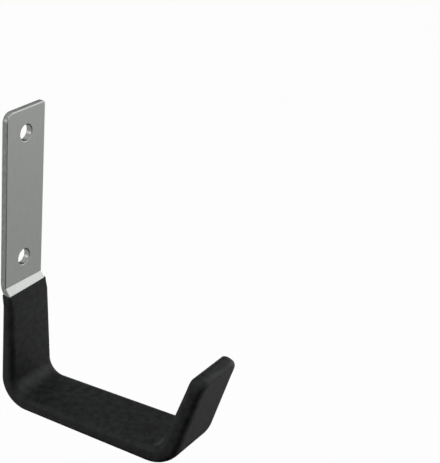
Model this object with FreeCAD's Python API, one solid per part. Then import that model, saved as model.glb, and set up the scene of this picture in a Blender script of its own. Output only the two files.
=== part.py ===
"""Wall hook for a garage: a flat steel strap bent to shape, with a thick soft sleeve over its lower part.

Two wall screws hold the upper plate of the strap. Below the plate the strap steps forward, so that the
sleeve stays clear of the wall. It runs down as a leg, turns out as an arm and turns up as a tip.

Frame: +X to the right for someone who faces the wall, +Y into the wall, +Z up. The origin lies on the
back face of the plate, midway between the two screw holes. Sizes are in millimetres and degrees.
"""

import FreeCAD
import Part

import math
import os

# Flat bar of the strap
strap_width = 25.0
strap_thickness = 3.0
strap_edge_round = 0.65

# Upper plate with the two screw holes, its top cut a little higher on the right
hole_diameter = 7.4
hole_spacing = 58.6
hole_front_rim_round = 0.5
plate_above_hole = 11.4
plate_below_hole = 12.0
plate_left_corner_radius = 4.2
plate_right_corner_radius = 1.6
plate_top_slant = 1.3

# Step forward between plate and leg
step_out = 2.75
step_angle = 37.0
step_upper_inner_radius = 0.5
step_upper_outer_radius = 11.0
step_lower_inner_radius = 1.7

# Leg, arm and tip, each measured between the corners of the strap's middle plane
leg_length = 50.2
leg_lean = 2.0
leg_bend_inner_radius = 9.0
arm_length = 86.4
arm_rise = 2.2
arm_bend_inner_radius = 11.3
tip_length = 43.3
tip_angle = 73.6
tip_corner_radius = 2.8

# Soft sleeve: a thin rim around the step, a little higher on the right, then thicker down to the arm's end
sleeve_start_above_leg = 1.1
sleeve_rim_slant = 1.3
sleeve_rim_round = 0.2
sleeve_side_wall_at_rim = 0.55
sleeve_front_wall_at_rim = 0.6
sleeve_back_wall_at_rim = 0.35
sleeve_edge_radius_at_rim = 1.3
sleeve_rim_taper = 5.0
sleeve_thickness_below_rim = 1.25
sleeve_thickness_at_leg_bend = 2.0
sleeve_thickness_at_arm_bend = 2.65
sleeve_thickness_at_tip = 2.2
sleeve_leg_edge_radius = 2.3
sleeve_tip_edge_radius = 3.2

# Derived sizes, and margins for the construction
half_width = strap_width / 2
half_thickness = strap_thickness / 2
hole_radius = hole_diameter / 2
plate_top = hole_spacing / 2 + plate_above_hole
plate_bottom = -hole_spacing / 2 - plate_below_hole
tip_cap_length = 2 * tip_corner_radius
# The sleeve keeps its width at the rim as far as the slanting cut and its softened edge reach down
rim_cut_depth = (half_width + sleeve_side_wall_at_rim) * math.tan(math.radians(sleeve_rim_slant))
rim_straight_length = rim_cut_depth + 2 * sleeve_rim_round
cutting_allowance = 2.0
length_tolerance = 1e-6

X_AXIS = FreeCAD.Vector(1, 0, 0)
Y_AXIS = FreeCAD.Vector(0, 1, 0)


def heading(angle_above_level):
    """Unit vector that points away from the wall and up by an angle in degrees."""
    angle = math.radians(angle_above_level)
    return FreeCAD.Vector(0, -math.cos(angle), math.sin(angle))


def front_normal(direction):
    """Unit normal of the strap on its front, upper or inner side, for a run along a direction."""
    return direction.cross(X_AXIS)


class Bend:
    """Round corner of the strap's middle plane, between two straight runs.

    Attributes:
        corner: meeting point of the two runs.
        before, after: directions of the runs on both sides of the corner.
        side: 1 for a turn towards the front side, -1 for one towards the back.
        turn: angle of the turn in degrees.
        radius: radius of the middle plane.
        outer_radius: radius of the outer face.
        start, end: points of the middle plane where the arc begins and ends.
        centre: centre of the arc.
    """

    def __init__(self, corner, before, after, inner_radius, outer_radius=None):
        self.corner = corner
        self.before = before
        self.after = after
        self.side = 1 if after.dot(front_normal(before)) > 0 else -1
        self.turn = math.degrees(before.getAngle(after))
        self.radius = inner_radius + half_thickness
        self.outer_radius = outer_radius or inner_radius + strap_thickness
        tangent = self.radius * math.tan(math.radians(self.turn / 2))
        self.start = corner - before * tangent
        self.end = corner + after * tangent
        self.centre = self.start + front_normal(before) * (self.side * self.radius)

    def face_arc(self, shift):
        """Start, middle and end of the arc along one face of the strap.

        Args:
            shift: distance of the face from the middle plane, positive towards the front side.
        """
        before = front_normal(self.before)
        after = front_normal(self.after)
        outward = before + after
        corner = self.corner + outward * (shift / (1 + before.dot(after)))
        inside = self.side * shift > 0
        radius = self.radius - half_thickness if inside else self.outer_radius
        tangent = radius * math.tan(math.radians(self.turn / 2))
        start = corner - self.before * tangent
        end = corner + self.after * tangent
        centre = start + before * (self.side * radius)
        middle = centre - outward.normalize() * (self.side * radius)
        return start, middle, end

    def sweep(self, face):
        """Turn a cross-section that lies at the start of the arc along the whole arc."""
        return face.revolve(self.centre, X_AXIS, -self.side * self.turn)


# Corners of the middle plane, from the top of the plate to the end of the tip
plate_direction = heading(-90)
step_direction = heading(step_angle - 90)
leg_direction = heading(leg_lean - 90)
arm_direction = heading(arm_rise)
tip_direction = heading(tip_angle)

strap_top = FreeCAD.Vector(0, -half_thickness, plate_top)
step_upper_corner = FreeCAD.Vector(0, -half_thickness, plate_bottom)
step_lower_corner = step_upper_corner + step_direction * (step_out / math.sin(math.radians(step_angle)))
leg_corner = step_lower_corner + leg_direction * leg_length
arm_corner = leg_corner + arm_direction * arm_length
strap_end = arm_corner + tip_direction * tip_length

step_upper_bend = Bend(
    step_upper_corner,
    plate_direction,
    step_direction,
    step_upper_inner_radius,
    step_upper_outer_radius,
)
step_lower_bend = Bend(step_lower_corner, step_direction, leg_direction, step_lower_inner_radius)
leg_bend = Bend(leg_corner, leg_direction, arm_direction, leg_bend_inner_radius)
arm_bend = Bend(arm_corner, arm_direction, tip_direction, arm_bend_inner_radius)
bends = [step_upper_bend, step_lower_bend, leg_bend, arm_bend]


def side_run(shift):
    """Edges of the side view along one face of the strap, from above the plate to the tip.

    Args:
        shift: distance of the face from the middle plane, positive towards the front side.

    Returns:
        The edges in order, and the first and the last point.
    """
    uncut_top = strap_top - plate_direction * cutting_allowance
    first = uncut_top + front_normal(plate_direction) * shift
    last = strap_end + front_normal(tip_direction) * shift
    edges = []
    point = first
    for bend in bends:
        start, middle, end = bend.face_arc(shift)
        edges.append(Part.makeLine(point, start))
        edges.append(Part.Arc(start, middle, end).toShape())
        point = end
    edges.append(Part.makeLine(point, last))
    return edges, first, last


def above_slant(height, slant):
    """Large block above a plane that is level from front to back and rises to the right.

    Args:
        height: height of the plane at the hook's middle.
        slant: angle of its rise in degrees.

    Returns:
        The block, and the upward normal of the plane.
    """
    size = 4 * strap_width
    block = Part.makeBox(size, size, size, FreeCAD.Vector(-size / 2, -size / 2, 0))
    block.rotate(FreeCAD.Vector(), Y_AXIS, -slant)
    block.translate(FreeCAD.Vector(0, 0, height))
    angle = math.radians(slant)
    return block, FreeCAD.Vector(-math.sin(angle), 0, math.cos(angle))


def corner_edges(shape, direction, point):
    """Straight edges through the strap's thickness, beside an end point of its middle plane.

    Args:
        shape: the strap.
        direction: direction through its thickness there.
        point: middle of the end.
    """
    found = []
    for edge in shape.Edges:
        if not isinstance(edge.Curve, Part.Line):
            continue
        parallel = edge.tangentAt(edge.FirstParameter).cross(direction).Length < length_tolerance
        near = (edge.CenterOfMass - point).Length < strap_width
        if parallel and near:
            found.append(edge)
    return found


def is_long_edge(edge):
    """True for an edge between a broad face and the narrow rim of the strap."""
    if not isinstance(edge.Curve, Part.Line):
        return True
    across = abs(edge.Length - strap_width) < length_tolerance
    through = abs(edge.Length - strap_thickness) < length_tolerance
    return not across and not through


def build_strap():
    """Flat steel strap with its bends, rounded ends, softened edges and screw holes."""
    front_edges, front_first, front_last = side_run(half_thickness)
    back_edges, back_first, back_last = side_run(-half_thickness)
    ends = [Part.makeLine(front_first, back_first), Part.makeLine(front_last, back_last)]
    side_view = Part.Wire(Part.__sortEdges__(front_edges + back_edges + ends))
    side_view.translate(X_AXIS * -half_width)
    strap = Part.Face(side_view).extrude(X_AXIS * strap_width)
    strap = strap.cut(above_slant(plate_top, plate_top_slant)[0])

    for side, radius in ((-1, plate_left_corner_radius), (1, plate_right_corner_radius)):
        top_corners = corner_edges(strap, Y_AXIS, strap_top)
        strap = strap.makeFillet(radius, [edge for edge in top_corners if edge.CenterOfMass.x * side > 0])
    tip_corners = corner_edges(strap, front_normal(tip_direction), strap_end)
    strap = strap.makeFillet(tip_corner_radius, tip_corners)
    strap = strap.makeFillet(strap_edge_round, [edge for edge in strap.Edges if is_long_edge(edge)])

    for height in (-hole_spacing / 2, hole_spacing / 2):
        base = FreeCAD.Vector(0, -strap_thickness, height)
        strap = strap.cut(Part.makeCylinder(hole_radius, strap_thickness, base, Y_AXIS))
    # The holes are punched from the front, which draws only their front rims in
    front_rims = [
        edge
        for edge in strap.Edges
        if isinstance(edge.Curve, Part.Circle)
        and abs(edge.Curve.Radius - hole_radius) < length_tolerance
        and edge.Curve.Axis.cross(Y_AXIS).Length < length_tolerance
        and edge.isClosed()
        and edge.CenterOfMass.y < -half_thickness
    ]
    return strap.makeFillet(hole_front_rim_round, front_rims)


def rounded_section(centre, direction, half_size, radius):
    """Outline of a rectangle with round corners, square to a direction.

    Args:
        centre: middle of the rectangle.
        direction: direction that it is square to.
        half_size: half of its size along X and along the front normal.
        radius: radius of its corners.

    Returns:
        The closed wire.
    """
    normal = front_normal(direction)
    half_x, half_n = half_size
    slant = radius * (1 - math.sqrt(0.5))

    def at(across, up):
        return centre + X_AXIS * across + normal * up

    edges = []
    quarters = ((1, 1), (-1, 1), (-1, -1), (1, -1))
    for index, (sign_x, sign_n) in enumerate(quarters):
        beside = at(sign_x * half_x, sign_n * (half_n - radius))
        corner = at(sign_x * (half_x - slant), sign_n * (half_n - slant))
        above = at(sign_x * (half_x - radius), sign_n * half_n)
        edges.append(Part.Arc(beside, corner, above).toShape())
        if index % 2 == 0:
            edges.append(Part.makeLine(above, at(-sign_x * (half_x - radius), sign_n * half_n)))
        else:
            edges.append(Part.makeLine(beside, at(sign_x * half_x, -sign_n * (half_n - radius))))
    return Part.Wire(Part.__sortEdges__(edges))


def sleeve_section(point, direction, thickness, radius):
    """Cross-section of the sleeve's outside where it has the same thickness all round.

    Args:
        point: point of the strap's middle plane, at the middle of its width.
        direction: direction of the strap there.
        thickness: thickness of the sleeve over the strap.
        radius: radius of its long edges.
    """
    half_size = (half_width + thickness, half_thickness + thickness)
    return rounded_section(point, direction, half_size, radius)


def rim_section():
    """Cross-section of the sleeve's outside at its rim, around the slanting strap of the step."""
    slope = math.tan(math.radians(step_angle))
    strap_shift = sleeve_start_above_leg * slope
    strap_half_depth = half_thickness / math.cos(math.radians(step_angle))
    front = strap_half_depth - strap_shift + sleeve_front_wall_at_rim
    back = strap_half_depth + strap_shift + sleeve_back_wall_at_rim
    normal = front_normal(leg_direction)
    centre = step_lower_corner - leg_direction * sleeve_start_above_leg + normal * ((front - back) / 2)
    half_size = (half_width + sleeve_side_wall_at_rim, (front + back) / 2)
    return rounded_section(centre, leg_direction, half_size, sleeve_edge_radius_at_rim)


def solid_between(first, second):
    """Solid with straight sides between two cross-sections."""
    return Part.makeLoft([first, second], True, True)


def build_sleeve_rim(below):
    """Upper end of the sleeve around the step: cut almost level, with a softened rim.

    Args:
        below: cross-section at which the leg's run begins.
    """
    section = rim_section()
    section.translate(leg_direction * rim_straight_length)
    above = Part.Face(section).extrude(leg_direction * -(rim_straight_length + cutting_allowance))
    rim = solid_between(section, below).fuse(above)
    height = step_lower_corner.z + sleeve_start_above_leg
    cutter, upward = above_slant(height, sleeve_rim_slant)
    rim = rim.cut(cutter)
    level = upward.z * height
    outline = [
        edge
        for edge in rim.Edges
        if all(abs(vertex.Point.dot(upward) - level) < length_tolerance for vertex in edge.Vertexes)
    ]
    return rim.makeFillet(sleeve_rim_round, outline)


def build_sleeve_tip():
    """Closed end of the sleeve: a slab with round corners, softened all the way round."""
    thickness = sleeve_thickness_at_tip
    half_x = half_width + thickness
    half_n = half_thickness + thickness
    radius = tip_corner_radius + thickness
    start = strap_end - tip_direction * tip_cap_length
    length = tip_cap_length + thickness
    normal = front_normal(tip_direction)
    slant = radius * (1 - math.sqrt(0.5))

    def at(across, along):
        return start + X_AXIS * across + tip_direction * along - normal * half_n

    right_corner = Part.Arc(
        at(half_x, length - radius),
        at(half_x - slant, length - slant),
        at(half_x - radius, length),
    )
    left_corner = Part.Arc(
        at(radius - half_x, length),
        at(slant - half_x, length - slant),
        at(-half_x, length - radius),
    )
    outline = Part.Wire(
        [
            Part.makeLine(at(-half_x, 0), at(half_x, 0)),
            Part.makeLine(at(half_x, 0), at(half_x, length - radius)),
            right_corner.toShape(),
            Part.makeLine(at(half_x - radius, length), at(radius - half_x, length)),
            left_corner.toShape(),
            Part.makeLine(at(-half_x, length - radius), at(-half_x, 0)),
        ]
    )
    slab = Part.Face(outline).extrude(normal * (2 * half_n))

    def is_rim(edge):
        distances = [(vertex.Point - start).dot(tip_direction) for vertex in edge.Vertexes]
        heights = [(vertex.Point - start).dot(normal) for vertex in edge.Vertexes]
        along_face = abs(heights[0] - heights[-1]) < length_tolerance
        return along_face and max(distances) > length_tolerance

    return slab.makeFillet(sleeve_tip_edge_radius, [edge for edge in slab.Edges if is_rim(edge)])


def build_sleeve(strap):
    """Soft sleeve that fits face to face on the strap, from the step to the closed tip."""
    rim_end = step_lower_corner + leg_direction * (sleeve_rim_taper - sleeve_start_above_leg)
    tip_cap_start = strap_end - tip_direction * tip_cap_length
    leg_radius = sleeve_leg_edge_radius
    tip_radius = sleeve_tip_edge_radius
    below_rim = sleeve_section(rim_end, leg_direction, sleeve_thickness_below_rim, leg_radius)
    leg_end = sleeve_section(leg_bend.start, leg_direction, sleeve_thickness_at_leg_bend, leg_radius)
    arm_start = sleeve_section(leg_bend.end, arm_direction, sleeve_thickness_at_leg_bend, leg_radius)
    arm_end = sleeve_section(arm_bend.start, arm_direction, sleeve_thickness_at_arm_bend, tip_radius)
    tip_start = sleeve_section(arm_bend.end, tip_direction, sleeve_thickness_at_arm_bend, tip_radius)
    tip_end = sleeve_section(tip_cap_start, tip_direction, sleeve_thickness_at_tip, tip_radius)
    pieces = [
        solid_between(below_rim, leg_end),
        leg_bend.sweep(Part.Face(leg_end)),
        solid_between(arm_start, arm_end),
        arm_bend.sweep(Part.Face(arm_end)),
        solid_between(tip_start, tip_end),
        build_sleeve_tip(),
    ]
    outside = build_sleeve_rim(below_rim).fuse(pieces)
    return outside.removeSplitter().cut(strap)


def main():
    """Build both pieces and write each to its own STEP file."""
    os.makedirs("parts", exist_ok=True)
    strap = build_strap()
    sleeve = build_sleeve(strap)
    for name, shape in (("steel_strap", strap), ("soft_sleeve", sleeve)):
        solid = shape.Solids[0]
        print(name, len(shape.Solids), "solid", solid.isValid(), solid.BoundBox, solid.Volume)
        solid.exportStep(os.path.join("parts", name + ".step"))


main()
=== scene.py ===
"""Dressed model of a garage wall hook: a bent flat steel strap with a thick black soft sleeve.

Frame: +X to the right for someone who faces the wall, +Y into the wall, +Z up. The origin lies on the
back face of the plate, midway between the two screw holes. Lengths are in metres.
"""

import logging
import math
from dataclasses import dataclass, field
from enum import Enum

import bmesh
import bpy
from mathutils import Matrix, Vector


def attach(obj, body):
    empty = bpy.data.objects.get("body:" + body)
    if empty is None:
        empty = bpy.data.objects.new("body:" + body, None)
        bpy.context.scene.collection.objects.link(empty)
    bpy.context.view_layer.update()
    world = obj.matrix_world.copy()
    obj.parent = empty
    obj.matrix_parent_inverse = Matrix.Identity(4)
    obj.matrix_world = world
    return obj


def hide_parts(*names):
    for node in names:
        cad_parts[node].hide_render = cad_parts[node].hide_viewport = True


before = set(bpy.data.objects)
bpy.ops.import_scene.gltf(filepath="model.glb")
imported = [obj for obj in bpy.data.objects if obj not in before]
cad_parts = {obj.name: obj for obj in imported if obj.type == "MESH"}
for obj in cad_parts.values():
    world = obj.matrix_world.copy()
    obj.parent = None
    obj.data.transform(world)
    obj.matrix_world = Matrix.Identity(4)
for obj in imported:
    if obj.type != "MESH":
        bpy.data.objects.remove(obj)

logging.basicConfig(level=logging.INFO, format="%(message)s")
log = logging.getLogger("wall_hook")

MM = 0.001
X_AXIS = Vector((1, 0, 0))
UP = Vector((0, 0, 1))


def heading(angle_above_level: float) -> Vector:
    """Direction in the hook's middle plane.

    Args:
        angle_above_level: angle in degrees between it and a level line that leads away from the wall.

    Returns:
        The unit vector.
    """
    angle = math.radians(angle_above_level)
    return Vector((0, -math.cos(angle), math.sin(angle)))


def front_normal(direction: Vector) -> Vector:
    """Normal on the strap's front, upper or inner side.

    Args:
        direction: direction of the run.

    Returns:
        The unit vector.
    """
    return direction.cross(X_AXIS)


@dataclass(frozen=True)
class StrapSizes:
    """Sizes of the bent flat bar. Run lengths lie between the corners of its middle plane."""

    width: float = 25.0 * MM
    thickness: float = 3.0 * MM
    edge_round: float = 0.65 * MM
    hole_diameter: float = 7.4 * MM
    hole_spacing: float = 58.6 * MM
    hole_front_rim_round: float = 0.5 * MM
    plate_above_hole: float = 11.4 * MM
    plate_below_hole: float = 12.0 * MM
    plate_left_corner_radius: float = 4.2 * MM
    plate_right_corner_radius: float = 1.6 * MM
    plate_top_slant: float = 1.3
    step_out: float = 2.75 * MM
    step_angle: float = 37.0
    step_upper_inner_radius: float = 0.5 * MM
    step_upper_outer_radius: float = 11.0 * MM
    step_lower_inner_radius: float = 1.7 * MM
    leg_length: float = 50.2 * MM
    leg_lean: float = 2.0
    leg_bend_inner_radius: float = 9.0 * MM
    arm_length: float = 86.4 * MM
    arm_rise: float = 2.2
    arm_bend_inner_radius: float = 11.3 * MM
    tip_length: float = 43.3 * MM
    tip_angle: float = 73.6
    tip_corner_radius: float = 2.8 * MM


@dataclass(frozen=True)
class SleeveSizes:
    """Sizes of the dipped coating over the lower part of the strap."""

    start_above_leg: float = 1.1 * MM
    rim_slant: float = 1.3
    rim_round: float = 0.2 * MM
    side_wall_at_rim: float = 0.55 * MM
    front_wall_at_rim: float = 0.6 * MM
    back_wall_at_rim: float = 0.35 * MM
    edge_radius_at_rim: float = 1.3 * MM
    rim_taper: float = 5.0 * MM
    below_rim: float = 1.25 * MM
    at_leg_bend: float = 2.0 * MM
    at_arm_bend: float = 2.65 * MM
    at_tip: float = 2.2 * MM
    leg_edge_radius: float = 2.3 * MM
    tip_edge_radius: float = 2.9 * MM
    leg_edge_spread: float = 1.5
    tip_inner_edge_spread: float = 0.85
    tip_outer_edge_spread: float = 1.6


@dataclass(frozen=True)
class Section:
    """Rectangle with round corners, square to the hook's middle line.

    A spread is the reach of the inner or outer corners along X over their reach through the thickness,
    which is the radius. One makes them quarters of a circle, any other number quarters of an ellipse.
    """

    half_x: float
    half_n: float
    radius: float
    inner_spread: float = 1.0
    outer_spread: float = 1.0


class Bend:
    """Round corner of the strap's middle plane, between two straight runs."""

    def __init__(self, corner: Vector, before: Vector, after: Vector, radius: float) -> None:
        """Work out where the arc begins and ends.

        Args:
            corner: meeting point of the two runs.
            before: direction of the run that comes in.
            after: direction of the run that goes out.
            radius: radius of the middle plane.
        """
        self.corner = corner
        self.before = before
        self.after = after
        self.side = 1 if after.dot(front_normal(before)) > 0 else -1
        self.turn = before.angle(after)
        tangent = radius * math.tan(self.turn / 2)
        self.start = corner - before * tangent
        self.end = corner + after * tangent
        self.centre = self.start + front_normal(before) * (self.side * radius)


class HookLine:
    """Middle line of the bent bar, from the top of the plate to the end of the tip."""

    def __init__(self, sizes: StrapSizes) -> None:
        """Lay out runs and bends.

        Args:
            sizes: sizes of the bar.
        """
        half = sizes.thickness / 2
        self.plate = heading(-90)
        self.step = heading(sizes.step_angle - 90)
        self.leg = heading(sizes.leg_lean - 90)
        self.arm = heading(sizes.arm_rise)
        self.tip = heading(sizes.tip_angle)

        plate_top = sizes.hole_spacing / 2 + sizes.plate_above_hole
        plate_bottom = -sizes.hole_spacing / 2 - sizes.plate_below_hole
        step_length = sizes.step_out / math.sin(math.radians(sizes.step_angle))
        self.top = Vector((0, -half, plate_top))
        step_upper = Vector((0, -half, plate_bottom))
        self.step_lower = step_upper + self.step * step_length
        leg_corner = self.step_lower + self.leg * sizes.leg_length
        arm_corner = leg_corner + self.arm * sizes.arm_length
        self.end = arm_corner + self.tip * sizes.tip_length

        self.step_upper_bend = Bend(
            step_upper, self.plate, self.step, sizes.step_upper_inner_radius + half
        )
        self.step_lower_bend = Bend(
            self.step_lower, self.step, self.leg, sizes.step_lower_inner_radius + half
        )
        self.leg_bend = Bend(leg_corner, self.leg, self.arm, sizes.leg_bend_inner_radius + half)
        self.arm_bend = Bend(arm_corner, self.arm, self.tip, sizes.arm_bend_inner_radius + half)


class RingGrower:
    """Grows a tube of faces from one closed ring of edges, run by run."""

    def __init__(self, mesh: bmesh.types.BMesh, ring: list, centre: Vector, direction: Vector) -> None:
        """Take hold of the first ring.

        Args:
            mesh: mesh that is being built.
            ring: edges of the first ring.
            centre: point of the middle line in the ring's plane.
            direction: direction of the middle line there.
        """
        self.mesh = mesh
        self.ring = ring
        self.centre = centre.copy()
        self.direction = direction.copy()

    def corners(self) -> list:
        """Vertices of the ring."""
        return list({corner for edge in self.ring for corner in edge.verts})

    def extrude(self) -> None:
        """Grow one more ring in the same place."""
        grown = bmesh.ops.extrude_edge_only(self.mesh, edges=self.ring)["geom"]
        fresh = {item for item in grown if isinstance(item, bmesh.types.BMVert)}
        edges = [item for item in grown if isinstance(item, bmesh.types.BMEdge)]
        self.ring = [edge for edge in edges if all(corner in fresh for corner in edge.verts)]

    def shift(self, offset: Vector) -> None:
        """Move the ring and its centre.

        Args:
            offset: way that they go.
        """
        bmesh.ops.translate(self.mesh, verts=self.corners(), vec=offset)
        self.centre += offset

    def resize(self, across: float, through: float, normal: Vector) -> None:
        """Scale the ring about its centre.

        Args:
            across: factor along X.
            through: factor along the normal.
            normal: direction in the ring's plane, square to X.
        """
        axes = Matrix((X_AXIS, normal, X_AXIS.cross(normal))).transposed()
        place = Matrix.Translation(self.centre) @ axes.to_4x4()
        bmesh.ops.scale(
            self.mesh,
            verts=self.corners(),
            vec=Vector((across, through, 1)),
            space=place.inverted(),
        )

    def run_to(self, point: Vector) -> None:
        """Grow a straight run.

        Args:
            point: point of the middle line at its end.
        """
        self.extrude()
        self.shift(point - self.centre)

    def reshape(self, before: Section, after: Section) -> None:
        """Change the ring from one rounded rectangle to another.

        Args:
            before: section that it has now.
            after: section that it gets.
        """
        normal = front_normal(self.direction)
        growth = after.radius / before.radius
        for corner in self.corners():
            offset = corner.co - self.centre
            across, through = offset.dot(X_AXIS), offset.dot(normal)
            if through > 0:
                widening = growth * after.inner_spread / before.inner_spread
            else:
                widening = growth * after.outer_spread / before.outer_spread
            new_across = after.half_x - (before.half_x - abs(across)) * widening
            new_through = after.half_n - (before.half_n - abs(through)) * growth
            corner.co = self.centre + X_AXIS * math.copysign(new_across, across)
            corner.co += normal * math.copysign(new_through, through)

    def stretch_to(self, front: Vector, back: Vector, normal: Vector) -> None:
        """Grow to a ring whose front and back vertices lie at two heights and depths.

        Args:
            front: point on the new front side.
            back: point on the new back side.
            normal: front normal of the ring that stands now.
        """
        self.extrude()
        for corner in self.corners():
            point = front if (corner.co - self.centre).dot(normal) > 0 else back
            corner.co.yz = point.yz
        self.centre = (front + back) / 2

    def turn(self, bend: Bend, steps: int, backwards: bool = False) -> None:
        """Grow along a bend.

        Args:
            bend: the bend that the ring stands at.
            steps: number of rings along it.
            backwards: True to go from its end to its start.
        """
        angle = -bend.side * bend.turn * (-1 if backwards else 1)
        spun = bmesh.ops.spin(
            self.mesh,
            geom=self.ring,
            cent=bend.centre,
            axis=X_AXIS,
            angle=angle,
            steps=steps,
            use_merge=False,
            use_duplicate=False,
        )["geom_last"]
        self.ring = [item for item in spun if isinstance(item, bmesh.types.BMEdge)]
        self.centre = (bend.start if backwards else bend.end).copy()
        self.direction = (bend.before if backwards else bend.after).copy()


def first_ring(
    mesh: bmesh.types.BMesh,
    centre: Vector,
    direction: Vector,
    section: Section,
    segments: int = 1,
) -> list:
    """Make a rectangle with rounded corners, square to the middle line.

    Args:
        mesh: mesh that is being built.
        centre: point of the middle line.
        direction: direction of the middle line.
        section: its size and the radius of its corners, which is zero for sharp ones.
        segments: segments of each corner.

    Returns:
        The edges of its outline; its face is removed.
    """
    normal = front_normal(direction)
    axes = Matrix((X_AXIS, normal, X_AXIS.cross(normal))).transposed()
    place = Matrix.Translation(centre) @ axes.to_4x4()
    stretch = Matrix.Diagonal((section.half_x, section.half_n, 1, 1))
    bmesh.ops.create_grid(mesh, x_segments=1, y_segments=1, size=1, matrix=place @ stretch)
    if section.radius > 0:
        bmesh.ops.bevel(
            mesh,
            geom=mesh.verts[:],
            offset=section.radius,
            offset_type="OFFSET",
            segments=segments,
            profile=0.5,
            affect="VERTICES",
            material=-1,
        )
    bmesh.ops.delete(mesh, geom=mesh.faces[:], context="FACES_ONLY")
    return mesh.edges[:]


def finished_object(name: str, mesh: bmesh.types.BMesh) -> bpy.types.Object:
    """Turn a bmesh into a smooth-shaded object in the scene.

    Args:
        name: name of the piece.
        mesh: its geometry, freed here.

    Returns:
        The object, at the origin.
    """
    bmesh.ops.recalc_face_normals(mesh, faces=mesh.faces[:])
    for face in mesh.faces:
        face.smooth = True
    data = bpy.data.meshes.new(name)
    mesh.to_mesh(data)
    mesh.free()
    piece = bpy.data.objects.new(name, data)
    bpy.context.scene.collection.objects.link(piece)
    return piece


def linear_colour(code: str) -> tuple[float, float, float, float]:
    """Turn an sRGB hex colour into linear values with full alpha.

    Args:
        code: colour such as "#8d8d8c".

    Returns:
        Red, green, blue and alpha.
    """
    values = []
    for index in (1, 3, 5):
        value = int(code[index : index + 2], 16) / 255
        values.append(value / 12.92 if value <= 0.04045 else ((value + 0.055) / 1.055) ** 2.4)
    return (*values, 1.0)


def add_node(
    tree: bpy.types.NodeTree,
    kind: str,
    settings: dict | None = None,
    inputs: dict | None = None,
) -> bpy.types.Node:
    """Add a node with its settings, input values and links.

    Args:
        tree: node tree to add to.
        kind: Blender's name of the node type.
        settings: attribute names and values.
        inputs: input names or numbers, each with a value or with the output socket to link.

    Returns:
        The new node.
    """
    node = tree.nodes.new(kind)
    for name, value in (settings or {}).items():
        setattr(node, name, value)
    for key, value in (inputs or {}).items():
        if isinstance(value, bpy.types.NodeSocket):
            tree.links.new(value, node.inputs[key])
        else:
            node.inputs[key].default_value = value
    return node


def colour_ramp(tree: bpy.types.NodeTree, factor: bpy.types.NodeSocket, stops: dict) -> bpy.types.Node:
    """Add a colour ramp between two or more grey or coloured stops.

    Args:
        tree: node tree to add to.
        factor: socket that drives the ramp.
        stops: positions with their sRGB hex colours, from low to high.

    Returns:
        The ramp node.
    """
    ramp = add_node(tree, "ShaderNodeValToRGB", inputs={"Fac": factor})
    elements = ramp.color_ramp.elements
    while len(elements) < len(stops):
        elements.new(0.5)
    for element, (position, code) in zip(elements, sorted(stops.items())):
        element.position = position
        element.color = linear_colour(code)
    return ramp


def blank_material(name: str) -> tuple[bpy.types.Material, bpy.types.NodeTree, bpy.types.Node]:
    """Make a material with only a Principled shader and its output.

    Args:
        name: name of the material.

    Returns:
        The material, its node tree and the shader.
    """
    material = bpy.data.materials.new(name)
    material.use_nodes = True
    tree = material.node_tree
    tree.nodes.clear()
    shader = add_node(tree, "ShaderNodeBsdfPrincipled")
    add_node(tree, "ShaderNodeOutputMaterial", inputs={"Surface": shader.outputs["BSDF"]})
    return material, tree, shader


class SteelSurface(Enum):
    """The kinds of surface on the strap."""

    ROLLED = "rolled face"
    SHEARED = "sheared edge"
    CUT = "cut end painted lighter"
    PUNCHED = "punched hole painted darker"


@dataclass(frozen=True)
class ZincPlatedSteel:
    """Mild steel bar, rolled, then zinc plated: a soft grey metal with a faint lengthwise grain.

    The grain is finer than the render can show, so it is drawn a little coarser than the real one.
    """

    surface: SteelSurface
    dark: str
    light: str
    roughness: float
    grain_width: float = 0.6 * MM
    grain_length: float = 9.0 * MM
    grain_depth: float = 0.002 * MM

    def material(self) -> bpy.types.Material:
        """Build the material."""
        material, tree, shader = blank_material(f"zinc plated steel, {self.surface.value}")
        place = add_node(tree, "ShaderNodeTexCoord").outputs["Object"]
        per_width = 1 / self.grain_width
        per_length = 1 / self.grain_length
        stretched = add_node(
            tree,
            "ShaderNodeMapping",
            inputs={"Vector": place, "Scale": (per_width, per_width, per_length)},
        )
        grain = add_node(
            tree,
            "ShaderNodeTexNoise",
            inputs={"Vector": stretched.outputs["Vector"], "Scale": 1.0, "Detail": 4.0, "Roughness": 0.6},
        )
        ramp = colour_ramp(tree, grain.outputs["Fac"], {0.3: self.dark, 0.7: self.light})
        tree.links.new(ramp.outputs["Color"], shader.inputs["Base Color"])
        bump = add_node(
            tree,
            "ShaderNodeBump",
            inputs={"Height": grain.outputs["Fac"], "Distance": self.grain_depth, "Strength": 1.0},
        )
        tree.links.new(bump.outputs["Normal"], shader.inputs["Normal"])
        shader.inputs["Metallic"].default_value = 1.0
        shader.inputs["Roughness"].default_value = self.roughness
        return material


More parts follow.
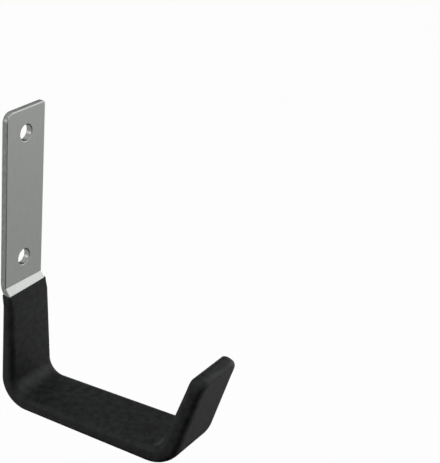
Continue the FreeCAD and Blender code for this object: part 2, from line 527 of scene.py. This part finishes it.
@dataclass(frozen=True)
class DippedVinyl:
    """Soft PVC, dipped and cured: matte black with a faint mottling where the skin set unevenly."""

    dark: str = "#0f1010"
    light: str = "#202121"
    roughness: float = 0.5
    sheen_level: float = 0.12
    mottle_size: float = 3.0 * MM
    mottle_depth: float = 0.1 * MM
    pore_size: float = 0.5 * MM
    pore_depth: float = 0.02 * MM

    def material(self) -> bpy.types.Material:
        """Build the material."""
        material, tree, shader = blank_material("dipped black vinyl")
        place = add_node(tree, "ShaderNodeTexCoord").outputs["Object"]
        mottle = add_node(
            tree,
            "ShaderNodeTexNoise",
            inputs={"Vector": place, "Scale": 1 / self.mottle_size, "Detail": 3.0, "Roughness": 0.55},
        )
        ramp = colour_ramp(tree, mottle.outputs["Fac"], {0.35: self.dark, 0.65: self.light})
        tree.links.new(ramp.outputs["Color"], shader.inputs["Base Color"])
        pores = add_node(
            tree,
            "ShaderNodeTexNoise",
            inputs={"Vector": place, "Scale": 1 / self.pore_size, "Detail": 2.0, "Roughness": 0.5},
        )
        uneven = add_node(
            tree,
            "ShaderNodeBump",
            inputs={"Height": mottle.outputs["Fac"], "Distance": self.mottle_depth, "Strength": 1.0},
        )
        bump = add_node(
            tree,
            "ShaderNodeBump",
            inputs={
                "Height": pores.outputs["Fac"],
                "Distance": self.pore_depth,
                "Strength": 1.0,
                "Normal": uneven.outputs["Normal"],
            },
        )
        tree.links.new(bump.outputs["Normal"], shader.inputs["Normal"])
        shader.inputs["Roughness"].default_value = self.roughness
        shader.inputs["Specular IOR Level"].default_value = self.sheen_level
        return material


ROLLED_FACE = ZincPlatedSteel(SteelSurface.ROLLED, dark="#888a88", light="#909290", roughness=0.36)
SHEARED_EDGE = ZincPlatedSteel(
    SteelSurface.SHEARED,
    dark="#626462",
    light="#8a8c8a",
    roughness=0.36,
    grain_width=0.5 * MM,
    grain_length=2.5 * MM,
    grain_depth=0.012 * MM,
)
# Cut ends: the grain is the steel's own, but the lighter tone is painted light that brightens the plate's
# upward top end.
CUT_END_PAINTED_LIGHT = ZincPlatedSteel(SteelSurface.CUT, dark="#a4a6a4", light="#b8bab8", roughness=0.4)
# Hole walls: the grain is the punched steel's own, but the darker tone is painted shade inside the holes.
HOLE_WALL_PAINTED_SHADE = ZincPlatedSteel(SteelSurface.PUNCHED, dark="#7c7d7b", light="#969795", roughness=0.36)
STRAP_SURFACE_MATERIALS = (ROLLED_FACE, SHEARED_EDGE, CUT_END_PAINTED_LIGHT, HOLE_WALL_PAINTED_SHADE)
ROLLED_INDEX, SHEARED_INDEX, CUT_INDEX, PUNCHED_INDEX = range(4)
BLACK_VINYL = DippedVinyl()


@dataclass
class SteelStrap:
    """Bent flat bar with two screw holes."""

    sizes: StrapSizes
    line: HookLine
    bend_steps: int = 12
    corner_segments: int = 10
    edge_segments: int = 3
    hole_segments: int = 64
    corner_slack: float = 0.01 * MM
    cutting_slack: float = 0.005 * MM
    sharp_angle: float = 30.0
    least_tilt: float = 0.05
    least_match: float = 0.99

    def build(self) -> bpy.types.Object:
        """Build the strap.

        Returns:
            The finished object.
        """
        bar = finished_object("bent_steel_strap", self.bar())
        self.drill(bar)
        self.sort_surfaces(bar)
        self.soften(bar)
        return bar

    def bar(self) -> bmesh.types.BMesh:
        """Bend the bar and round its plan corners. Its long edges stay sharp.

        Returns:
            The mesh, without the holes.
        """
        mesh = bmesh.new()
        line = self.line
        section = Section(self.sizes.width / 2, self.sizes.thickness / 2, 0)
        ring = first_ring(mesh, line.top, line.plate, section)
        grower = RingGrower(mesh, ring, line.top, line.plate)
        top_ring = ring
        self.bend_unevenly(grower, line.step_upper_bend)
        half_thickness = front_normal(line.step) * (self.sizes.thickness / 2)
        start = line.step_lower_bend.start
        grower.stretch_to(start + half_thickness, start - half_thickness, front_normal(line.step))
        grower.turn(line.step_lower_bend, self.bend_steps)
        for bend in (line.leg_bend, line.arm_bend):
            grower.run_to(bend.start)
            grower.turn(bend, self.bend_steps)
        grower.run_to(line.end)
        bmesh.ops.edgeloop_fill(mesh, edges=top_ring)
        bmesh.ops.edgeloop_fill(mesh, edges=grower.ring)

        rise = self.sizes.width / 2 * math.tan(math.radians(self.sizes.plate_top_slant))
        corner_radii = (self.sizes.plate_left_corner_radius, self.sizes.plate_right_corner_radius)
        for side, radius in zip((-1, 1), corner_radii):
            top_corners = [
                corner for corner in mesh.verts if corner.co.z == line.top.z and corner.co.x * side > 0
            ]
            bmesh.ops.translate(mesh, verts=top_corners, vec=UP * (rise * side))
            self.round_corner(mesh, line.top + UP * (rise * side), side, radius)
            self.round_corner(mesh, line.end, side, self.sizes.tip_corner_radius)
        # The faces are divided through the holes, so that each hole notches a face from its edge.
        for height in self.hole_heights():
            geometry = mesh.verts[:] + mesh.edges[:] + mesh.faces[:]
            bmesh.ops.bisect_plane(mesh, geom=geometry, plane_co=UP * height, plane_no=UP)
        return mesh

    def hole_heights(self) -> tuple[float, float]:
        """Heights of the two screw holes."""
        half = self.sizes.hole_spacing / 2
        return (-half, half)

    def bend_unevenly(self, grower: RingGrower, bend: Bend) -> None:
        """Grow along the upper bend of the step, crisp on its inner side and broad on its outer one.

        Args:
            grower: ring at the top of the plate.
            bend: the bend.
        """
        before = front_normal(bend.before)
        outward = before + front_normal(bend.after)
        half_thickness = self.sizes.thickness / 2
        faces = {1: self.sizes.step_upper_inner_radius, -1: self.sizes.step_upper_outer_radius}
        centres = {}
        for side, radius in faces.items():
            corner = bend.corner + outward * (side * half_thickness / outward.dot(before))
            centres[side] = corner - bend.before * (radius * math.tan(bend.turn / 2)) + before * radius
        for step in range(self.bend_steps + 1):
            turned = Matrix.Rotation(-bend.turn * step / self.bend_steps, 3, "X") @ before
            front, back = (centres[side] - turned * faces[side] for side in (1, -1))
            grower.stretch_to(front, back, before)

    def round_corner(self, mesh: bmesh.types.BMesh, end: Vector, side: int, radius: float) -> None:
        """Round one of the two corners at one end of the bar.

        Args:
            mesh: the bar.
            end: point at the corner's height in the bar's middle.
            side: -1 for the left corner, 1 for the right one.
            radius: radius of the corner.
        """
        place = end + X_AXIS * (side * self.sizes.width / 2)
        edges = [
            edge
            for edge in mesh.edges
            if abs(edge.calc_length() - self.sizes.thickness) < self.corner_slack
            and ((edge.verts[0].co + edge.verts[1].co) / 2 - place).length < self.corner_slack
        ]
        bmesh.ops.bevel(
            mesh,
            geom=edges,
            offset=radius,
            offset_type="OFFSET",
            segments=self.corner_segments,
            profile=0.5,
            affect="EDGES",
            material=-1,
        )

    def drill(self, bar: bpy.types.Object) -> None:
        """Cut the two screw holes.

        Args:
            bar: the bar.
        """
        drills = bmesh.new()
        for height in self.hole_heights():
            centre = Vector((0, -self.sizes.thickness / 2, height))
            bmesh.ops.create_cone(
                drills,
                cap_ends=True,
                segments=self.hole_segments,
                radius1=self.sizes.hole_diameter / 2,
                radius2=self.sizes.hole_diameter / 2,
                depth=self.sizes.thickness * 2,
                matrix=Matrix.Translation(centre) @ Matrix.Rotation(math.pi / 2, 4, "X"),
            )
        cutter = finished_object("drills", drills)
        cut = bar.modifiers.new("screw holes", "BOOLEAN")
        cut.object = cutter
        cut.operation = "DIFFERENCE"
        cut.solver = "EXACT"
        evaluated = bar.evaluated_get(bpy.context.evaluated_depsgraph_get())
        drilled = bpy.data.meshes.new_from_object(evaluated)
        bar.modifiers.clear()
        bar.data = drilled
        bpy.data.objects.remove(cutter)

    def sort_surfaces(self, bar: bpy.types.Object) -> None:
        """Give rolled faces, sheared edges, the bar's two ends and the hole walls a material each; the
        ends carry painted light and the hole walls painted shade.

        Args:
            bar: the drilled bar.
        """
        bar.data.materials.clear()
        for finish in STRAP_SURFACE_MATERIALS:
            bar.data.materials.append(finish.material())
        end_planes = ((self.line.top, self.line.plate), (self.line.end, self.line.tip))
        for face in bar.data.polygons:
            sideways = abs(face.normal.x) > self.least_tilt
            at_end = any(
                abs(face.normal.dot(direction)) > self.least_match
                and abs((face.center - end).dot(direction)) < self.sizes.edge_round
                for end, direction in end_planes
            )
            square_to_plate = abs(face.normal.y) < self.least_tilt
            in_hole = square_to_plate and abs(face.center.x) < self.sizes.hole_diameter
            # Ends take the lighter steel that holds painted light; hole walls take the darker steel that
            # holds painted shade.
            if at_end:
                face.material_index = CUT_INDEX
            elif in_hole:
                face.material_index = PUNCHED_INDEX
            else:
                face.material_index = SHEARED_INDEX if sideways else ROLLED_INDEX
            face.use_smooth = True

    def soften(self, bar: bpy.types.Object) -> None:
        """Break all sharp edges but the holes' back rims, and keep broad faces flat in the shading.

        Args:
            bar: the drilled bar.
        """
        weights = bar.data.attributes.new("bevel_weight_edge", "FLOAT", "EDGE")
        mesh = bmesh.new()
        mesh.from_mesh(bar.data)
        # The cut leaves some points twice, a hair apart.
        bmesh.ops.remove_doubles(mesh, verts=mesh.verts, dist=self.cutting_slack)
        layer = mesh.edges.layers.float[weights.name]
        for edge in mesh.edges:
            if edge.calc_face_angle() < math.radians(self.sharp_angle):
                continue
            at_hole = any(face.material_index == PUNCHED_INDEX for face in edge.link_faces)
            at_back = edge.verts[0].co.y > -self.sizes.thickness / 2
            if not at_hole:
                edge[layer] = 1.0
            elif at_back:
                edge.smooth = False
            else:
                edge[layer] = self.sizes.hole_front_rim_round / self.sizes.edge_round
        mesh.to_mesh(bar.data)
        mesh.free()
        bevel = bar.modifiers.new("broken edges", "BEVEL")
        bevel.limit_method = "WEIGHT"
        bevel.use_clamp_overlap = False
        bevel.width = self.sizes.edge_round
        bevel.segments = self.edge_segments
        bevel.profile = 0.5
        shading = bar.modifiers.new("flat faces", "WEIGHTED_NORMAL")
        shading.keep_sharp = True


@dataclass
class SoftSleeve:
    """Black dipped sleeve, hollow where the strap runs through it and closed at the tip."""

    sizes: SleeveSizes
    strap: StrapSizes
    line: HookLine
    corner_segments: int = 10
    bend_steps: int = 20
    rim_steps: int = 4
    tip_steps: int = 10
    clearance: float = 0.01 * MM
    cutting_allowance: float = 2.0 * MM

    def leg_section(self, thickness: float) -> Section:
        """Cross-section of the sleeve on the leg.

        Args:
            thickness: thickness of the coating, which is the same all round.

        Returns:
            The section.
        """
        half_x = self.strap.width / 2 + thickness
        half_n = self.strap.thickness / 2 + thickness
        spread = self.sizes.leg_edge_spread
        return Section(half_x, half_n, self.sizes.leg_edge_radius, spread, spread)

    def tip_section(self, thickness: float) -> Section:
        """Cross-section of the sleeve at the tip, crisp on its inner edges and pillowy on its outer ones.

        Args:
            thickness: thickness of the coating, which is the same all round.

        Returns:
            The section.
        """
        sizes = self.sizes
        half_x = self.strap.width / 2 + thickness
        half_n = self.strap.thickness / 2 + thickness
        spreads = (sizes.tip_inner_edge_spread, sizes.tip_outer_edge_spread)
        return Section(half_x, half_n, sizes.tip_edge_radius, *spreads)

    def rim_section(self) -> tuple[Vector, Section]:
        """Cross-section at the rim, around the slanting strap of the step.

        Returns:
            Its centre and the section.
        """
        sizes = self.sizes
        slant = math.radians(self.strap.step_angle)
        strap_shift = sizes.start_above_leg * math.tan(slant)
        strap_half_depth = self.strap.thickness / 2 / math.cos(slant)
        front = strap_half_depth - strap_shift + sizes.front_wall_at_rim
        back = strap_half_depth + strap_shift + sizes.back_wall_at_rim
        centre = self.line.step_lower - self.line.leg * sizes.start_above_leg
        centre += front_normal(self.line.leg) * ((front - back) / 2)
        half_x = self.strap.width / 2 + sizes.side_wall_at_rim
        return centre, Section(half_x, (front + back) / 2, sizes.edge_radius_at_rim)

    def build(self) -> bpy.types.Object:
        """Build the sleeve.

        Returns:
            The finished object.
        """
        outside = bmesh.new()
        outer_rim = self.outer_skin(outside)
        inside = bmesh.new()
        self.inner_skin(inside)
        piece = finished_object("dipped_sleeve", self.joined(outside, outer_rim, inside))
        piece.data.materials.append(BLACK_VINYL.material())
        return piece

    def outer_skin(self, mesh: bmesh.types.BMesh) -> list:
        """Grow the outside of the sleeve, from its rim to its closed tip.

        Args:
            mesh: empty mesh to grow it in.

        Returns:
            The edges of the open rim.
        """
        line = self.line
        sizes = self.sizes
        rim_centre, at_rim = self.rim_section()
        above_rim = rim_centre - line.leg * self.cutting_allowance
        below_rim = self.leg_section(sizes.below_rim)
        at_leg_bend = self.leg_section(sizes.at_leg_bend)
        at_arm_bend = self.tip_section(sizes.at_arm_bend)
        at_tip = self.tip_section(sizes.at_tip)

        ring = first_ring(mesh, above_rim, line.leg, at_rim, self.corner_segments)
        grower = RingGrower(mesh, ring, above_rim, line.leg)
        cut_depth = at_rim.half_x * math.tan(math.radians(sizes.rim_slant))
        grower.run_to(rim_centre + line.leg * (cut_depth + 2 * sizes.rim_round))
        grower.run_to(line.step_lower + line.leg * (sizes.rim_taper - sizes.start_above_leg))
        grower.reshape(at_rim, below_rim)
        grower.run_to(line.leg_bend.start)
        grower.reshape(below_rim, at_leg_bend)
        grower.turn(line.leg_bend, self.bend_steps)
        grower.run_to(line.arm_bend.start)
        grower.reshape(at_leg_bend, at_arm_bend)
        grower.turn(line.arm_bend, self.bend_steps)
        grower.run_to(line.end - line.tip * (2 * self.strap.tip_corner_radius))
        grower.reshape(at_arm_bend, at_tip)
        self.close_tip(grower, at_tip, sizes.at_tip)
        return self.cut_rim(mesh, sizes.rim_round)

    def inner_skin(self, mesh: bmesh.types.BMesh) -> None:
        """Grow the inside of the sleeve, close to the strap.

        Args:
            mesh: empty mesh to grow it in.
        """
        line = self.line
        bend = line.step_lower_bend
        half_x = self.strap.width / 2 + self.clearance
        half_n = self.strap.thickness / 2 + self.clearance
        close = Section(half_x, half_n, self.strap.edge_round)
        ring = first_ring(mesh, bend.end, line.leg, close, self.corner_segments)
        grower = RingGrower(mesh, list(ring), bend.end, line.leg)
        for next_bend in (line.leg_bend, line.arm_bend):
            grower.run_to(next_bend.start)
            grower.turn(next_bend, self.bend_steps)
        self.close_tip(grower, close, self.clearance)
        upward = RingGrower(mesh, list(ring), bend.end, line.leg)
        upward.turn(bend, self.bend_steps // 2, backwards=True)
        upward.run_to(bend.start - line.step * self.strap.width)
        self.cut_rim(mesh, 0)

    def close_tip(self, grower: RingGrower, section: Section, thickness: float) -> None:
        """Grow the tip's end, with plan corners and a soft edge all round, and close it.

        Args:
            grower: ring at the start of the tip's end.
            section: cross-section there.
            thickness: thickness of the sleeve there.
        """
        half_x, half_n, edge_radius = section.half_x, section.half_n, section.radius
        plan_radius = self.strap.tip_corner_radius + thickness
        tip_end = self.line.end + self.line.tip * thickness
        normal = front_normal(self.line.tip)
        last = (half_x, half_n)
        for step in range(self.tip_steps + 1):
            angle = math.pi / 2 * step / self.tip_steps
            from_end = plan_radius * (1 - math.sin(angle))
            beside_edge = max(edge_radius - from_end, 0)
            drop = edge_radius - math.sqrt(edge_radius**2 - beside_edge**2)
            size = (half_x - plan_radius * (1 - math.cos(angle)), half_n - drop)
            grower.run_to(tip_end - self.line.tip * from_end)
            grower.resize(size[0] / last[0], size[1] / last[1], normal)
            last = size
        bmesh.ops.edgeloop_fill(grower.mesh, edges=grower.ring)

    def cut_rim(self, mesh: bmesh.types.BMesh, depth: float) -> list:
        """Cut a skin along the slightly slanted rim and return the open edges.

        Args:
            mesh: the skin.
            depth: distance of the cut below the rim.

        Returns:
            The edges of the cut.
        """
        near_wall = self.line.leg_bend.centre.y
        upper = [face for face in mesh.faces if face.calc_center_median().y > near_wall]
        geometry = upper + list({edge for face in upper for edge in face.edges})
        geometry += list({corner for face in upper for corner in face.verts})
        upward = Matrix.Rotation(math.radians(-self.sizes.rim_slant), 3, "Y") @ UP
        height = self.line.step_lower.z + self.sizes.start_above_leg - depth
        cut = bmesh.ops.bisect_plane(
            mesh, geom=geometry, plane_co=UP * height, plane_no=upward, clear_outer=True
        )["geom_cut"]
        return [item for item in cut if isinstance(item, bmesh.types.BMEdge)]

    def joined(
        self, outer: bmesh.types.BMesh, outer_rim: list, inner: bmesh.types.BMesh
    ) -> bmesh.types.BMesh:
        """Round the outer rim, add the inner skin and bridge the two.

        Args:
            outer: the outer skin.
            outer_rim: its open edges.
            inner: the inner skin, freed here.

        Returns:
            The closed mesh.
        """
        section = self.rim_section()[1]
        middle = sum((edge.verts[0].co for edge in outer_rim), Vector()) / len(outer_rim)
        grower = RingGrower(outer, outer_rim, Vector((0, middle.y, middle.z)), UP)
        radius = self.sizes.rim_round
        last = (section.half_x, section.half_n)
        height = 0.0
        for step in range(1, self.rim_steps + 1):
            angle = math.pi / 2 * step / self.rim_steps
            rise = radius * math.sin(angle)
            grower.extrude()
            grower.shift(-self.line.leg * (rise - height))
            drop = radius * (1 - math.cos(angle))
            size = (section.half_x - drop, section.half_n - drop)
            grower.resize(size[0] / last[0], size[1] / last[1], Vector((0, 1, 0)))
            last = size
            height = rise
        data = bpy.data.meshes.new("inner skin")
        bmesh.ops.reverse_faces(inner, faces=inner.faces[:])
        inner.to_mesh(data)
        inner.free()
        outer.from_mesh(data)
        bpy.data.meshes.remove(data)
        open_edges = [edge for edge in outer.edges if edge.is_boundary]
        bmesh.ops.bridge_loops(outer, edges=open_edges)
        return outer


@dataclass(frozen=True)
class SoftBox:
    """Square studio lamp that points at the hook."""

    name: str
    direction: tuple[float, float, float]
    distance: float
    size: tuple[float, float]
    radiance: float

    def build(self, aim: Vector) -> None:
        """Place the lamp.

        Args:
            aim: point that it faces.
        """
        lamp = bpy.data.lights.new(self.name, "AREA")
        lamp.shape = "RECTANGLE"
        lamp.size, lamp.size_y = self.size
        lamp.energy = self.radiance * math.pi * self.size[0] * self.size[1]
        away = Vector(self.direction).normalized()
        holder = bpy.data.objects.new(self.name, lamp)
        holder.rotation_mode = "QUATERNION"
        holder.location = aim + away * self.distance
        holder.rotation_quaternion = away.to_track_quat("Z", "Y")
        bpy.context.scene.collection.objects.link(holder)


@dataclass(frozen=True)
class ShadeCard:
    """Flat card out of the camera's sight, which the hook mirrors as a dark area."""

    name: str
    direction: tuple[float, float, float]
    distance: float
    size: tuple[float, float]
    colour: str

    def build(self, aim: Vector) -> None:
        """Place the card.

        Args:
            aim: point that it faces.
        """
        away = Vector(self.direction).normalized()
        facing = away.to_track_quat("Z", "Y").to_matrix().to_4x4()
        place = Matrix.Translation(aim + away * self.distance) @ facing
        mesh = bmesh.new()
        stretch = Matrix.Diagonal((self.size[0] / 2, self.size[1] / 2, 1, 1))
        bmesh.ops.create_grid(mesh, x_segments=1, y_segments=1, size=1, matrix=place @ stretch)
        card = finished_object(self.name, mesh)
        material, _, shader = blank_material(self.name)
        shader.inputs["Base Color"].default_value = linear_colour(self.colour)
        shader.inputs["Roughness"].default_value = 1.0
        shader.inputs["Specular IOR Level"].default_value = 0.0
        card.data.materials.append(material)
        card.visible_camera = False


@dataclass
class Studio:
    """Plain white studio: pale floor, even sky, soft boxes and a camera at the photograph's angle."""

    focus: tuple[float, float, float] = (0.0, -30.0 * MM, -39.3 * MM)
    floor_drop: float = 0.5
    floor_size: float = 12.0
    floor_colour: str = "#ececec"
    floor_roughness: float = 0.9
    shadow_share: float = 0.03
    azimuth: float = 60.79
    elevation: float = 24.42
    roll: float = 5.25
    distance: float = 534.9 * MM
    aside: float = 64.99 * MM
    above: float = 27.80 * MM
    lens: float = 94.87
    sensor: float = 36.0
    sky: float = 0.4
    lamps: list[SoftBox] = field(
        default_factory=lambda: [
            SoftBox("right soft box", (0.795, -0.50, 0.33), 0.8, (0.6, 0.7), 2.0),
            SoftBox("left soft box", (-0.85, 0.444, 0.26), 0.9, (0.22, 0.22), 8.0),
            SoftBox("front soft box", (-0.12, -0.84, 0.52), 0.9, (0.3, 0.3), 3.0),
            SoftBox("top soft box", (-0.25, 0.0, 0.97), 0.9, (0.9, 0.9), 1.5),
        ]
    )
    cards: list[ShadeCard] = field(
        default_factory=lambda: [
            ShadeCard("front shade card", (-0.35, -0.8, -0.45), 0.5, (0.5, 0.6), "#050505"),
            ShadeCard("lower shade card", (-0.1, -0.05, -1.0), 0.35, (0.5, 0.55), "#050505"),
            ShadeCard("back shade card", (0.42, 0.5, -0.787), 0.5, (0.3, 0.3), "#202020"),
            ShadeCard("rear shade card", (0.795, 0.444, 0.413), 0.6, (0.45, 0.45), "#5a5a5a"),
            ShadeCard("right shade card", (0.78, 0.0, -0.65), 0.55, (0.35, 0.35), "#707070"),
        ]
    )

    def build(self) -> None:
        """Build floor, sky, lamps and camera."""
        self.build_floor()
        self.build_sky()
        for item in self.lamps + self.cards:
            item.build(Vector(self.focus))
        self.build_camera()

    def build_floor(self) -> None:
        """Pale floor that shows as white and keeps a faint shadow."""
        mesh = bmesh.new()
        height = Matrix.Translation(Vector((0, 0, self.focus[2] - self.floor_drop)))
        bmesh.ops.create_grid(mesh, x_segments=1, y_segments=1, size=self.floor_size / 2, matrix=height)
        floor = finished_object("floor", mesh)
        material, tree, shader = blank_material("pale floor")
        shader.inputs["Base Color"].default_value = linear_colour(self.floor_colour)
        shader.inputs["Roughness"].default_value = self.floor_roughness
        shader.inputs["Specular IOR Level"].default_value = 0.0
        seen = self.seen_plainly(tree)
        share = add_node(
            tree,
            "ShaderNodeMath",
            {"operation": "MULTIPLY"},
            {0: seen, 1: 1 - self.shadow_share},
        )
        glow = add_node(tree, "ShaderNodeEmission", inputs={"Color": (1, 1, 1, 1), "Strength": 1.0})
        shade = add_node(
            tree,
            "ShaderNodeMixShader",
            inputs={0: share.outputs["Value"], 1: shader.outputs["BSDF"], 2: glow.outputs["Emission"]},
        )
        output = next(node for node in tree.nodes if node.type == "OUTPUT_MATERIAL")
        tree.links.new(shade.outputs["Shader"], output.inputs["Surface"])
        floor.data.materials.append(material)

    def build_sky(self) -> None:
        """Even sky: white where it is seen or mirrored, softer where it lights."""
        world = bpy.data.worlds.new("sky")
        bpy.context.scene.world = world
        world.use_nodes = True
        tree = world.node_tree
        tree.nodes.clear()
        seen = self.seen_plainly(tree)
        strength = add_node(
            tree,
            "ShaderNodeMapRange",
            inputs={"Value": seen, "To Min": self.sky, "To Max": 1.0},
        )
        light = add_node(
            tree,
            "ShaderNodeBackground",
            inputs={"Color": (1, 1, 1, 1), "Strength": strength.outputs["Result"]},
        )
        add_node(tree, "ShaderNodeOutputWorld", inputs={"Surface": light.outputs["Background"]})

    def seen_plainly(self, tree: bpy.types.NodeTree) -> bpy.types.NodeSocket:
        """Add nodes that give one for camera, glossy and transmission rays, and zero for others.

        Args:
            tree: node tree to add to.

        Returns:
            The socket with the result.
        """
        path = add_node(tree, "ShaderNodeLightPath").outputs
        first = add_node(
            tree,
            "ShaderNodeMath",
            {"operation": "MAXIMUM"},
            {0: path["Is Camera Ray"], 1: path["Is Glossy Ray"]},
        )
        second = add_node(
            tree,
            "ShaderNodeMath",
            {"operation": "MAXIMUM"},
            {0: first.outputs["Value"], 1: path["Is Transmission Ray"]},
        )
        return second.outputs["Value"]

    def build_camera(self) -> None:
        """Camera with the photograph's angle, distance and framing."""
        turn = math.radians(self.azimuth)
        tilt = math.radians(self.elevation)
        roll = math.radians(self.roll)
        back = Vector(
            (-math.sin(turn) * math.cos(tilt), -math.cos(turn) * math.cos(tilt), math.sin(tilt))
        )
        level_right = Vector((math.cos(turn), -math.sin(turn), 0))
        level_up = back.cross(level_right)
        right = level_right * math.cos(roll) + level_up * math.sin(roll)
        up = level_up * math.cos(roll) - level_right * math.sin(roll)
        camera_data = bpy.data.cameras.new("camera")
        camera_data.lens = self.lens
        camera_data.sensor_width = self.sensor
        camera_data.dof.use_dof = False
        camera = bpy.data.objects.new("camera", camera_data)
        camera.rotation_mode = "QUATERNION"
        camera.location = (
            Vector(self.focus) + right * self.aside + up * self.above + back * self.distance
        )
        camera.rotation_quaternion = Matrix((right, up, back)).transposed().to_quaternion()
        bpy.context.scene.collection.objects.link(camera)
        bpy.context.scene.camera = camera


def report_piece(piece: bpy.types.Object) -> None:
    """Log a piece's name and size.

    Args:
        piece: the piece.
    """
    sizes = ", ".join(f"{value / MM:.1f}" for value in piece.dimensions)
    log.info("%s: %s mm, %d faces", piece.name, sizes, len(piece.data.polygons))


def main() -> None:
    """Build the dressed hook and its studio."""
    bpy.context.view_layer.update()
    strap_sizes = StrapSizes()
    line = HookLine(strap_sizes)

    strap = SteelStrap(strap_sizes, line).build()
    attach(strap, "root")
    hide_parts("steel_strap")
    report_piece(strap)

    sleeve = SoftSleeve(SleeveSizes(), strap_sizes, line).build()
    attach(sleeve, "root")
    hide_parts("soft_sleeve")
    report_piece(sleeve)

    Studio().build()
    bpy.context.scene.view_settings.view_transform = "Standard"

    bpy.context.view_layer.update()


if __name__ == "__main__":
    main()
